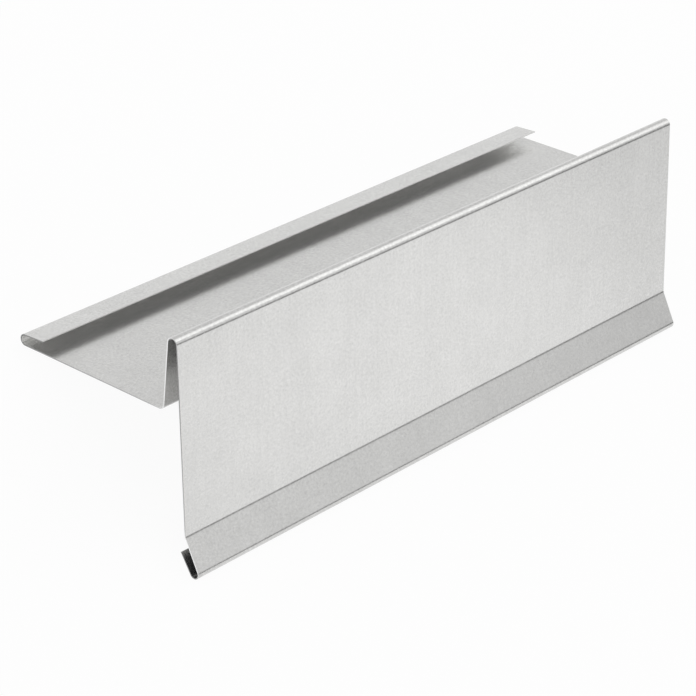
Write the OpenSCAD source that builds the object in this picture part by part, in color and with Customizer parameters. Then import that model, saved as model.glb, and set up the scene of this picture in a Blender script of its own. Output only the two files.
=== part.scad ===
// Verge flashing: one folded sheet that covers the sloping edge of a roof.
// Seen along the verge, the sheet runs from the free edge of its water fold, across the
// roof flange, up and over a round bead, down the fascia, and out over a kicked drip edge
// that ends in an open hem.

/* [Sheet] */
// Thickness of the sheet metal
sheet_t = 0.7; // [0.5:0.05:1.2]
// Length of the flashing along the verge
run_length = 420; // [250:10:3000]

/* [Water fold] */
// Flat width of the lip that is folded back over the flange
lip_w = 14.5; // [8:0.5:30]
// Inside radius of the fold
fold_r = 2.7; // [1:0.1:5]
// Angle by which the lip rises from the flange towards its free edge
lip_rise = 3; // [0:0.5:20]

/* [Roof flange] */
// Flat width of the flange that lies on the roof deck
flange_w = 103.5; // [60:1:200]
// Inside radius of the bend between the flange and the upstand
base_r = 3.2; // [1:0.1:8]

/* [Upstand and bead] */
// Flat height of the upstand between its two bends
upstand_h = 37.5; // [15:0.5:80]
// Angle by which the upstand leans towards the fascia
upstand_lean = 5.2; // [0:0.1:6]
// Inside radius of the bead that joins the upstand to the fascia
bead_r = 3; // [2:0.1:8]

/* [Fascia and drip edge] */
// Flat height of the fascia
fascia_h = 110; // [60:1:200]
// Angle by which the fascia leans outwards towards its foot
fascia_lean = 2.4; // [0:0.1:6]
// Inside radius of the bend between the fascia and the drip edge
kick_r = 2.2; // [0.8:0.1:5]
// Angle by which the drip edge is kicked out from the fascia
kick = 24.5; // [10:0.5:40]
// Flat width of the drip edge
drip_w = 19.5; // [10:0.5:40]

/* [Open hem] */
// Inside radius of the hem
hem_r = 2.7; // [1:0.1:5]
// Angle that the hem stays open
hem_open = 6; // [0:0.5:20]
// Flat width of the hem behind the drip edge
hem_w = 13; // [6:0.5:20]

/* [Hidden] */

// Facets of a full turn of each bend
$fn = 96;

// A millimetre on the drawing of the section. The section is drawn at a hundredth of its
// size and enlarged afterwards, which keeps the rounding where a flat meets a bend far
// smaller than anything on the part.
mm = 0.01;
thick = sheet_t * mm;

// The sheet seen from its end: each row is a flat's width, the bend after it in degrees,
// where plus turns left and minus turns right, and that bend's inside radius.
LEGS = [
    [lip_w * mm, lip_rise - 180, fold_r * mm],
    [flange_w * mm, upstand_lean - 90, base_r * mm],
    [upstand_h * mm, 180 - upstand_lean - fascia_lean, bead_r * mm],
    [fascia_h * mm, -kick, kick_r * mm],
    [drip_w * mm, 180 - hem_open, hem_r * mm],
    [hem_w * mm, 0, 0]
];
FOLD = 0;
HEM = 4;

function ahead(angle) = [cos(angle), sin(angle)];
function left(angle) = [-sin(angle), cos(angle)];
function outside_r(leg) = leg[2] + thick;

// Distance of a bend's centre to the left of the sheet's right-hand face
function centre_side(leg) = leg[1] > 0 ? outside_r(leg) : -leg[2];

// Where a flat starts, as [point, direction], with the roof flange level
function flat_start(i) = i == 0
    ? [[0, 0], -lip_rise]
    : let (turned = flat_start(i - 1)[1] + LEGS[i - 1][1])
      [bend_centre(i - 1) - centre_side(LEGS[i - 1]) * left(turned), turned];
function bend_centre(i) =
    let (start = flat_start(i), leg = LEGS[i])
    start[0] + leg[0] * ahead(start[1]) + centre_side(leg) * left(start[1]);

// On a level floor the sheet rests on the outsides of its water fold and its hem, which are
// its two feet. This is the turn that brings the feet to one level, and where they then are.
feet = bend_centre(FOLD) - bend_centre(HEM);
foot_step = outside_r(LEGS[FOLD]) - outside_r(LEGS[HEM]);
rest_angle = asin(foot_step / norm(feet)) - atan2(feet[1], feet[0]);
function at_rest(p) = p[0] * ahead(rest_angle) + p[1] * left(rest_angle);
fold_foot = at_rest(bend_centre(FOLD));
hem_foot = at_rest(bend_centre(HEM));
floor_level = fold_foot[1] - outside_r(LEGS[FOLD]);
middle = (fold_foot[0] + outside_r(LEGS[FOLD]) + hem_foot[0] - outside_r(LEGS[HEM])) / 2;

// Draws its children in the frame at the end of a bend, from the frame at its start
module past_bend(leg) {
    translate([0, centre_side(leg)]) rotate(leg[1]) translate([0, -centre_side(leg)]) children();
}

// A bend: the part of a ring that lies past the flat before it and short of the one after
module bend(leg) {
    beyond = 2 * outside_r(leg);
    intersection() {
        translate([0, centre_side(leg)]) difference() {
            circle(outside_r(leg));
            circle(leg[2]);
        }
        translate([0, centre_side(leg) - beyond]) square([beyond, 2 * beyond]);
        past_bend(leg) translate([-beyond, centre_side(leg) - beyond]) square([beyond, 2 * beyond]);
    }
}

// A flat and all that follows it, each drawn in the frame that the one before leaves
module section_from(i) {
    leg = LEGS[i];
    square([leg[0], thick]);
    if (i < len(LEGS) - 1)
        translate([leg[0], 0]) {
            bend(leg);
            past_bend(leg) section_from(i + 1);
        }
}

module folded_sheet() {
    color([0.78, 0.78, 0.77])
        scale(1 / mm) translate([-run_length * mm / 2, -middle, -floor_level])
            rotate([90, 0, 90]) rotate(rest_angle - lip_rise)
                linear_extrude(run_length * mm) section_from(0);
}

folded_sheet();
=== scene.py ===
"""Looks for the folded verge flashing: zinc-coated sheet on a pale floor in soft studio light."""

import math

import bpy
from mathutils import Matrix, Vector, noise


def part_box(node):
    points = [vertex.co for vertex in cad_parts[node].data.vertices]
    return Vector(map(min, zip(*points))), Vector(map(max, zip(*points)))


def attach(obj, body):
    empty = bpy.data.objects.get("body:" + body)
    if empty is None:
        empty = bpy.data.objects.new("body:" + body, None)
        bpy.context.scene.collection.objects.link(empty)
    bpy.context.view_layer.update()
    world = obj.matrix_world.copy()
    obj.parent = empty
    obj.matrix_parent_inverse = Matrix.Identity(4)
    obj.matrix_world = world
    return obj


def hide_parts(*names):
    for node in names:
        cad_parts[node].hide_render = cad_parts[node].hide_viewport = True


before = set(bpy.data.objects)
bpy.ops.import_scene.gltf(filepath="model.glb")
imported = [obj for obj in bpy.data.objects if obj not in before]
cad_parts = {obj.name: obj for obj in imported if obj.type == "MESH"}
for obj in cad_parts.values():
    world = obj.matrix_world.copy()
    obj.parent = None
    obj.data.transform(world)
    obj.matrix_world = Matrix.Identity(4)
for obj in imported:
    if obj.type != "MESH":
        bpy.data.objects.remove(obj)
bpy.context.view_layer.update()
MM = 0.001

# The folded sheet, in millimetres and degrees. Each row is a flat's width, the bend after it,
# where plus turns left and minus turns right, and that bend's inside radius.
SHEET_T = 0.7
LEGS = (
    (14.5, -177.0, 2.7),  # lip, then the water fold
    (103.5, -84.8, 3.2),  # roof flange, then the foot of the upstand
    (37.5, 172.4, 3.0),  # upstand, then the bead
    (109.566, -24.5, 4.2),  # fascia, then the kick, which is softer here than in the CAD
    (19.066, 174.0, 2.7),  # drip edge, then the open hem
    (13.0, 0.0, 0.0),  # hem
)
FOLD, HEM = 0, 4

# How finely the sheet is meshed: steps round a bend, across a flat and along the run, the
# narrow step beside each bend, and the angle from which an edge is sharp
BEND_STEP = 4.0  # degrees
FLAT_STEP = 6.0
RUN_STEP = 6.0
BESIDE_BEND = 0.4
SHARP_FROM = 40.0  # degrees

# Bevel of the cut edges: its width, its steps and the angle from which an edge has it
BURR = 0.09
BURR_SEGMENTS = 2
BURR_FROM = 60.0  # degrees

# Rolled and folded sheet is never quite flat: how far it swells, over what lengths, which
# layer of the noise it takes, and over what length it dies out at the two feet
SWELL = 0.16
SWELL_ALONG = 150.0
SWELL_ACROSS = 55.0
SWELL_LAYER = 0.37
SWELL_FADE = 20.0

# Zinc coating: the scale per metre, the detail and the stretch of each of its patterns
FINE_SPECKLE = (750.0, 2.0, (1, 1, 1))
CLOUD = (45.0, 3.0, (1, 1, 1))
ROLLING_GRAIN = (420.0, 2.0, (1, 0.05, 0))
# What each pattern adds to the level, and the level that has the dark and the pale tone
FINE_WEIGHT = 0.20
CLOUD_WEIGHT = 0.05
GRAIN_WEIGHT = 0.035
TONES = ((0.08, (0.555, 0.553, 0.545, 1)), (0.205, (0.745, 0.743, 0.733, 1)))
# Part of the shine that is bare metal; the rest is the matt bloom of the coating
METALLIC = 0.82
# Roughness, and the span of the fine speckle over which it rises
ROUGHNESS = (0.20, 0.25)
ROUGHNESS_SPAN = (0.3, 0.7)
BUMP_STRENGTH = 0.12
BUMP_DEPTH = 0.00002

# Painted light inside the water fold and painted shade inside the hem: millimetres of sheet from the
# lip's edge between which each comes in
FOLD_INSIDE = (28.0, 22.0)
HEM_INSIDE = (303.0, 310.0)
HEM_MOUTH = (334.0, 328.0)
# Painted light: the inside of the water fold is paler than the sheet, so the flange mirrors a lighter
# band under the lip
FOLD_PAINTED_LIGHT = (0.95, 0.95, 0.94, 1)
# Painted shade: the inside of the hem is dark
HEM_PAINTED_SHADE = (0.26, 0.26, 0.26, 1)
# The sheet's right face is marked 0 and its left face 1, and this tells them apart
BETWEEN_FACES = 0.5

# Grey level of the sheared ends along the section, from 0 at the lip to 1 at the hem: the pale grey of
# bare sheared metal, made lighter and darker along the section as painted highlights and painted shade
SHEARED_GREY_AND_PAINTED_LIGHT = (
    (0.0, 0.34), (0.07, 0.22), (0.12, 0.40), (0.36, 0.50), (0.41, 0.95), (0.51, 0.95),
    (0.55, 0.30), (0.62, 0.30), (0.86, 0.50), (0.88, 0.97), (0.93, 0.97), (0.95, 0.25),
)
# A face belongs to an end where its normal has more than this along X
SHEARED_NORMAL = 0.4

# Camera: where it looks, in metres and degrees. Azimuth turns from +Y towards +X.
LOOK_AT = Vector((-0.0184, 0.00703, -0.01482))
LOOK_AZIMUTH = 71.19
LOOK_DOWN = 45.64
CAMERA_ROLL = 39.18
CAMERA_DISTANCE = 1.5646
SENSOR_MM = 36.0
LENS_MM = 138.51
SHIFT_X = 0.0263
CLIP_START = 0.05

# Studio: grey level of the surroundings by height, 0 at the horizon and 1 overhead
FRONT_LEVELS = ((0.0, 1.0), (0.12, 1.0), (0.18, 0.14), (0.40, 0.14), (0.52, 0.95), (1.0, 0.92))
BACK_LEVELS = ((0.0, 0.80), (0.60, 0.80), (1.0, 0.82))
# Where, along Y, the back of the room passes into its front
BACK_TO_FRONT = (0.3, -0.3)
LAMP_DISTANCE = 1.6
LAMP_AIM = Vector((0, 0, 0.05))

# Floor: its size in metres, its paint, and how much of it glows white where it is seen
FLOOR_SIZE = 12.0
FLOOR_COLOUR = (0.9, 0.9, 0.9, 1)
FLOOR_ROUGHNESS = 0.9
FLOOR_GLOW = 0.94
# Along X and Y: how far from the middle the floor's glow is held back, a painted shadow under the part
# where only the lamps' and room's light shows, and over what the glow comes in
PAINTED_SHADOW_UNDER_PART = ((0.09, 0.06), (0.05, 0.03))


def heading(degrees):
    """The unit vector at an angle in the section, which has +Y to the right and +Z up."""
    return Vector((math.cos(math.radians(degrees)), math.sin(math.radians(degrees))))


def stations():
    """The middle of the sheet from the lip to the hem, and the centres of the bends.

    Each station is its point, the sheet's heading there and the length of sheet before it.
    """
    point, turn, length = Vector((0.0, 0.0)), 0.0, 0.0
    path, centres = [(point, turn, length)], []
    for width, bend, inside in LEGS:
        steps = max(2, round((width - 2 * BESIDE_BEND) / FLAT_STEP))
        even = [BESIDE_BEND + (width - 2 * BESIDE_BEND) * i / steps for i in range(steps + 1)]
        for along in even + [width]:
            path.append((point + along * heading(turn), turn, length + along))
        point, length = point + width * heading(turn), length + width
        if not bend:
            break
        radius = inside + SHEET_T / 2
        side = math.copysign(90.0, bend)
        centre = point + radius * heading(turn + side)
        centres.append(centre)
        steps = math.ceil(abs(bend) / BEND_STEP)
        for i in range(1, steps + 1):
            now = turn + bend * i / steps
            arc = radius * math.radians(abs(bend)) * i / steps
            path.append((centre - radius * heading(now + side), now, length + arc))
        point, turn, length = path[-1]
    return path, centres


def rest_turn(centres):
    """The turn that sets the outsides of the water fold and the hem on one level."""
    feet = centres[FOLD] - centres[HEM]
    step = LEGS[FOLD][2] - LEGS[HEM][2]
    return math.degrees(math.asin(step / feet.length) - math.atan2(feet.y, feet.x))


def lengths_at_bends():
    """How much sheet lies before the middle of each bend, and last before the hem's edge."""
    middles, length = [], 0.0
    for width, bend, inside in LEGS:
        arc = (inside + SHEET_T / 2) * math.radians(abs(bend))
        middles.append(length + width + arc / 2)
        length += width + arc
    return middles


def section_in_place(low):
    """The stations turned to rest and moved to the solid's low corner.

    Each is its point, the direction across the sheet there and the length of sheet before it.
    """
    path, centres = stations()
    at_rest = rest_turn(centres)
    upright = Matrix.Rotation(math.radians(at_rest), 2)
    section = [(upright @ point, heading(turn + at_rest + 90), length) for point, turn, length in path]
    half = SHEET_T / 2
    faces = [middle + side * half * across for middle, across, _ in section for side in (-1, 1)]
    shift = Vector((low[1] / MM - min(p.x for p in faces), low[2] / MM - min(p.y for p in faces)))
    return [(middle + shift, across, length) for middle, across, length in section]


def swell(x, length, feet):
    """How far the sheet stands out of its flat, in millimetres: not at all where it rests."""
    place = Vector((x / SWELL_ALONG, length / SWELL_ACROSS, SWELL_LAYER))
    from_foot = min(abs(length - foot) for foot in feet)
    return SWELL * noise.noise(place) * min(1.0, from_foot / SWELL_FADE)


def sheet_points(section, low_x, high_x, runs):
    """The mesh's points in metres, and where each lies on the unfolded sheet.

    The third number of that place is 0 on the sheet's right face and 1 on its left face.
    """
    at_bends = lengths_at_bends()
    feet = (at_bends[FOLD], at_bends[HEM])
    half = SHEET_T / 2
    points, places = [], []
    for i in range(runs + 1):
        x = (low_x + (high_x - low_x) * i / runs) / MM
        for middle, across, length in section:
            out = swell(x, length, feet)
            for left in (0, 1):
                spot = middle + (half * (2 * left - 1) + out) * across
                points.append(Vector((x, spot.x, spot.y)) * MM)
                places.append((x * MM, length * MM, left))
    return points, places


def sheet_faces(count, runs):
    """The faces of a closed sheet with so many stations across and so many runs along it."""

    def at(run, station, left):
        return run * 2 * count + 2 * station + left

    last = count - 1
    faces = []
    for i in range(runs):
        for j in range(last):
            faces.append((at(i, j, 0), at(i, j + 1, 0), at(i + 1, j + 1, 0), at(i + 1, j, 0)))
            faces.append((at(i, j, 1), at(i + 1, j, 1), at(i + 1, j + 1, 1), at(i, j + 1, 1)))
        faces.append((at(i, 0, 0), at(i + 1, 0, 0), at(i + 1, 0, 1), at(i, 0, 1)))
        faces.append((at(i, last, 0), at(i, last, 1), at(i + 1, last, 1), at(i + 1, last, 0)))
    for j in range(last):
        faces.append((at(0, j, 0), at(0, j, 1), at(0, j + 1, 1), at(0, j + 1, 0)))
        faces.append((at(runs, j, 0), at(runs, j + 1, 0), at(runs, j + 1, 1), at(runs, j, 1)))
    return faces


def add_sheet():
    """The whole flashing as one folded sheet, in the place that its solid holds."""
    low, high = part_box("folded_sheet")
    section = section_in_place(low)
    runs = round((high[0] - low[0]) / MM / RUN_STEP)
    points, places = sheet_points(section, low[0], high[0], runs)

    mesh = bpy.data.meshes.new("verge_flashing")
    mesh.from_pydata(points, [], sheet_faces(len(section), runs))
    mesh.validate()
    developed = mesh.attributes.new("developed", "FLOAT_VECTOR", "POINT")
    for i, place in enumerate(places):
        developed.data[i].vector = place
    for face in mesh.polygons:
        face.use_smooth = True
    mesh.set_sharp_from_angle(angle=math.radians(SHARP_FROM))
    mesh.materials.append(sheet_material())

    piece = bpy.data.objects.new("verge_flashing", mesh)
    bpy.context.scene.collection.objects.link(piece)
    burr = piece.modifiers.new("cut_edges", "BEVEL")
    burr.width = BURR * MM
    burr.segments = BURR_SEGMENTS
    burr.limit_method = "ANGLE"
    burr.angle_limit = math.radians(BURR_FROM)
    burr.harden_normals = True
    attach(piece, "root")
    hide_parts("folded_sheet")


def pointing(azimuth, elevation):
    """The direction at an azimuth, from +Y towards +X, and an elevation above the floor."""
    a, e = math.radians(azimuth), math.radians(elevation)
    return Vector((math.sin(a) * math.cos(e), math.cos(a) * math.cos(e), math.sin(e)))


def add_camera():
    """The photograph's view of the part."""
    forward = pointing(LOOK_AZIMUTH, -LOOK_DOWN)
    data = bpy.data.cameras.new("camera")
    data.sensor_width = SENSOR_MM
    data.lens = LENS_MM
    data.shift_x = SHIFT_X
    data.clip_start = CLIP_START
    camera = bpy.data.objects.new("camera", data)
    turn = forward.to_track_quat("-Z", "Y").to_matrix().to_4x4()
    roll = Matrix.Rotation(math.radians(CAMERA_ROLL), 4, "Z")
    camera.matrix_world = Matrix.Translation(LOOK_AT - forward * CAMERA_DISTANCE) @ turn @ roll
    bpy.context.scene.collection.objects.link(camera)
    bpy.context.scene.camera = camera


def add_lamp(name, azimuth, elevation, size, power):
    """A square softbox that faces the part: its size is in metres and its power in watts."""
    data = bpy.data.lights.new(name, "AREA")
    data.size = size
    data.energy = power
    lamp = bpy.data.objects.new(name, data)
    towards = pointing(azimuth, elevation)
    lamp.location = towards * LAMP_DISTANCE + LAMP_AIM
    lamp.rotation_euler = (-towards).to_track_quat("-Z", "Y").to_euler()
    lamp.visible_camera = False
    bpy.context.scene.collection.objects.link(lamp)


def put(tree, socket, value):
    """Sets a socket to a number or a colour, or links it to another socket."""
    if isinstance(value, bpy.types.NodeSocket):
        tree.links.new(value, socket)
    else:
        socket.default_value = value


def maths(tree, operation, *values, clamp=False):
    """The result of a sum on numbers or sockets."""
    node = tree.nodes.new("ShaderNodeMath")
    node.operation = operation
    node.use_clamp = clamp
    for socket, value in zip(node.inputs, values):
        put(tree, socket, value)
    return node.outputs["Value"]


def eased(tree, value, start, end):
    """0 before start and 1 past end, with a soft passage between them."""
    node = tree.nodes.new("ShaderNodeMapRange")
    node.interpolation_type = "SMOOTHSTEP"
    node.inputs["From Min"].default_value = start
    node.inputs["From Max"].default_value = end
    put(tree, node.inputs["Value"], value)
    return node.outputs["Result"]


def mixed(tree, share, under, over):
    """One colour laid over another by a share from 0 to 1."""
    node = tree.nodes.new("ShaderNodeMix")
    node.data_type = "RGBA"
    put(tree, node.inputs["Factor"], share)
    put(tree, node.inputs["A"], under)
    put(tree, node.inputs["B"], over)
    return node.outputs["Result"]


def axes_of(tree, vector):
    """The three numbers of a vector, by the name of their axis."""
    node = tree.nodes.new("ShaderNodeSeparateXYZ")
    put(tree, node.inputs["Vector"], vector)
    return node.outputs


def grey_ramp(tree, name, value, stops):
    """The grey level at a value, from stops that pair a place from 0 to 1 with its level."""
    ramp = tree.nodes.new("ShaderNodeValToRGB")
    ramp.name = name
    elements = ramp.color_ramp.elements
    while len(elements) < len(stops):
        elements.new(0.5)
    for element, (place, level) in zip(elements, stops):
        element.position = place
        element.color = (level, level, level, 1)
    put(tree, ramp.inputs["Fac"], value)
    return ramp.outputs["Color"]


def add_world():
    """Even light from all round. In front, an unlit gap parts the low white from the softboxes."""
    world = bpy.data.worlds.new("studio")
    world.use_nodes = True
    bpy.context.scene.world = world
    tree = world.node_tree
    direction = axes_of(tree, tree.nodes.new("ShaderNodeTexCoord").outputs["Generated"])
    front = grey_ramp(tree, "front", direction["Z"], FRONT_LEVELS)
    back = grey_ramp(tree, "back", direction["Z"], BACK_LEVELS)
    in_front = eased(tree, direction["Y"], *BACK_TO_FRONT)
    put(tree, tree.nodes["Background"].inputs["Color"], mixed(tree, in_front, back, front))


def floor_material():
    """White paint that shows as white where it is seen, and keeps the part's soft shadow. Under the
    part its glow is held back in a box, a painted shadow.
    """
    material = bpy.data.materials.new("floor")
    material.use_nodes = True
    tree = material.node_tree
    paint = tree.nodes["Principled BSDF"]
    paint.inputs["Base Color"].default_value = FLOOR_COLOUR
    paint.inputs["Roughness"].default_value = FLOOR_ROUGHNESS
    glow = tree.nodes.new("ShaderNodeEmission")
    glow.inputs["Strength"].default_value = 1.0

    # A painted shadow: no glow in a box under the part
    place = axes_of(tree, tree.nodes.new("ShaderNodeTexCoord").outputs["Object"])
    beyond = []
    for axis, (reach, fade) in zip("XY", PAINTED_SHADOW_UNDER_PART):
        past = maths(tree, "SUBTRACT", maths(tree, "ABSOLUTE", place[axis]), reach)
        beyond.append(maths(tree, "DIVIDE", past, fade))
    glow_outside_painted_shadow = maths(tree, "MAXIMUM", *beyond, clamp=True)

    rays = tree.nodes.new("ShaderNodeLightPath").outputs
    seen = maths(tree, "ADD", rays["Is Camera Ray"], rays["Is Glossy Ray"])
    seen = maths(tree, "ADD", seen, rays["Is Transmission Ray"], clamp=True)
    share = maths(tree, "MULTIPLY", maths(tree, "MULTIPLY", glow_outside_painted_shadow, FLOOR_GLOW), seen)

    blend = tree.nodes.new("ShaderNodeMixShader")
    put(tree, blend.inputs["Fac"], share)
    put(tree, blend.inputs[1], paint.outputs["BSDF"])
    put(tree, blend.inputs[2], glow.outputs["Emission"])
    put(tree, tree.nodes["Material Output"].inputs["Surface"], blend.outputs["Shader"])
    return material


def add_floor():
    """A plain white floor."""
    half = FLOOR_SIZE / 2
    corners = [(-half, -half, 0), (half, -half, 0), (half, half, 0), (-half, half, 0)]
    mesh = bpy.data.meshes.new("floor")
    mesh.from_pydata(corners, [], [(0, 1, 2, 3)])
    mesh.materials.append(floor_material())
    floor = bpy.data.objects.new("floor", mesh)
    bpy.context.scene.collection.objects.link(floor)


def noise_at(tree, name, place, scale, detail, stretch):
    """A noise from 0 to 1 at a place, stretched along its axes."""
    size = tree.nodes.new("ShaderNodeMapping")
    size.inputs["Scale"].default_value = stretch
    put(tree, size.inputs["Vector"], place)
    pattern = tree.nodes.new("ShaderNodeTexNoise")
    pattern.name = name
    pattern.inputs["Scale"].default_value = scale
    pattern.inputs["Detail"].default_value = detail
    put(tree, pattern.inputs["Vector"], size.outputs["Vector"])
    return pattern.outputs["Fac"]


def coating_tone(tree, fine, place, developed):
    """The coating's colour: fine speckle, faint clouds, and grain along the rolled strip."""
    cloud = noise_at(tree, "cloud", place, *CLOUD)
    grain = noise_at(tree, "rolling_grain", developed, *ROLLING_GRAIN)
    fine_part = maths(tree, "MULTIPLY", fine, FINE_WEIGHT)
    cloud_part = maths(tree, "MULTIPLY", cloud, CLOUD_WEIGHT)
    grain_part = maths(tree, "MULTIPLY", grain, GRAIN_WEIGHT)
    level = maths(tree, "ADD", maths(tree, "ADD", fine_part, cloud_part), grain_part)
    tone = tree.nodes.new("ShaderNodeValToRGB")
    for element, (at_level, colour) in zip(tone.color_ramp.elements, TONES):
        element.position = at_level
        element.color = colour
    put(tree, tone.inputs["Fac"], level)
    return tone.outputs["Color"]


def paint_fold_light_and_hem_shade(tree, tone, length, left):
    """The tone with a painted light on the inside of the water fold and a painted shade on the inside
    of the hem.
    """
    fold_reach = eased(tree, length, *(end * MM for end in FOLD_INSIDE))
    hem_reach = eased(tree, length, *(end * MM for end in HEM_INSIDE))
    hem_mouth = eased(tree, length, *(end * MM for end in HEM_MOUTH))
    on_right = maths(tree, "LESS_THAN", left, BETWEEN_FACES)
    on_left = maths(tree, "GREATER_THAN", left, BETWEEN_FACES)
    in_fold = maths(tree, "MULTIPLY", fold_reach, on_right)
    in_hem = maths(tree, "MULTIPLY", hem_reach, on_left)
    in_hem = maths(tree, "MULTIPLY", in_hem, hem_mouth)
    # The fold's paler inside is painted light, and the hem's dark inside is painted shade
    return mixed(tree, in_hem, mixed(tree, in_fold, tone, FOLD_PAINTED_LIGHT), HEM_PAINTED_SHADE)


def sheared_ends_and_painted_light(tree, tone_with_painted_folds, length):
    """The tone with the grey of the shears on the sheet's two ends, partly the bare metal's own grey
    and partly painted highlights and painted shade.
    """
    normal = axes_of(tree, tree.nodes.new("ShaderNodeNewGeometry").outputs["Normal"])
    facing_along = maths(tree, "ABSOLUTE", normal["X"])
    sheared = maths(tree, "GREATER_THAN", facing_along, SHEARED_NORMAL)
    along = tree.nodes.new("ShaderNodeMapRange")
    along.inputs["From Max"].default_value = lengths_at_bends()[-1] * MM
    put(tree, along.inputs["Value"], length)
    # The ends' grey rises and falls along the section as painted highlights and painted shade
    edge = grey_ramp(tree, "sheared_ends_and_painted_light", along.outputs["Result"], SHEARED_GREY_AND_PAINTED_LIGHT)
    return mixed(tree, sheared, tone_with_painted_folds, edge)


def sheet_material():
    """Matt zinc-coated sheet, with sheared ends whose grey is partly painted highlight and shade, a
    painted light inside the water fold and a painted shade inside the hem.
    """
    material = bpy.data.materials.new("zinc_coated_sheet")
    material.use_nodes = True
    tree = material.node_tree
    shader = tree.nodes["Principled BSDF"]
    shader.inputs["Metallic"].default_value = METALLIC
    place = tree.nodes.new("ShaderNodeTexCoord").outputs["Object"]
    unfolded = tree.nodes.new("ShaderNodeAttribute")
    unfolded.attribute_name = "developed"
    developed = unfolded.outputs["Vector"]
    on_sheet = axes_of(tree, developed)

    fine = noise_at(tree, "fine_speckle", place, *FINE_SPECKLE)
    tone = coating_tone(tree, fine, place, developed)
    # The coating's tone with painted light inside the water fold and painted shade inside the hem
    tone_with_painted_folds = paint_fold_light_and_hem_shade(tree, tone, on_sheet["Y"], on_sheet["Z"])
    colour = sheared_ends_and_painted_light(tree, tone_with_painted_folds, on_sheet["Y"])
    put(tree, shader.inputs["Base Color"], colour)

    rough = tree.nodes.new("ShaderNodeMapRange")
    rough.inputs["From Min"].default_value = ROUGHNESS_SPAN[0]
    rough.inputs["From Max"].default_value = ROUGHNESS_SPAN[1]
    rough.inputs["To Min"].default_value = ROUGHNESS[0]
    rough.inputs["To Max"].default_value = ROUGHNESS[1]
    put(tree, rough.inputs["Value"], fine)
    put(tree, shader.inputs["Roughness"], rough.outputs["Result"])

    bump = tree.nodes.new("ShaderNodeBump")
    bump.inputs["Strength"].default_value = BUMP_STRENGTH
    bump.inputs["Distance"].default_value = BUMP_DEPTH
    put(tree, bump.inputs["Height"], fine)
    put(tree, shader.inputs["Normal"], bump.outputs["Normal"])
    return material


add_sheet()
add_camera()
add_world()
add_floor()
add_lamp("top", azimuth=82, elevation=50, size=1.0, power=2.2)
add_lamp("low_front", azimuth=143, elevation=4, size=0.7, power=0.5)

bpy.context.scene.view_settings.view_transform = "Standard"
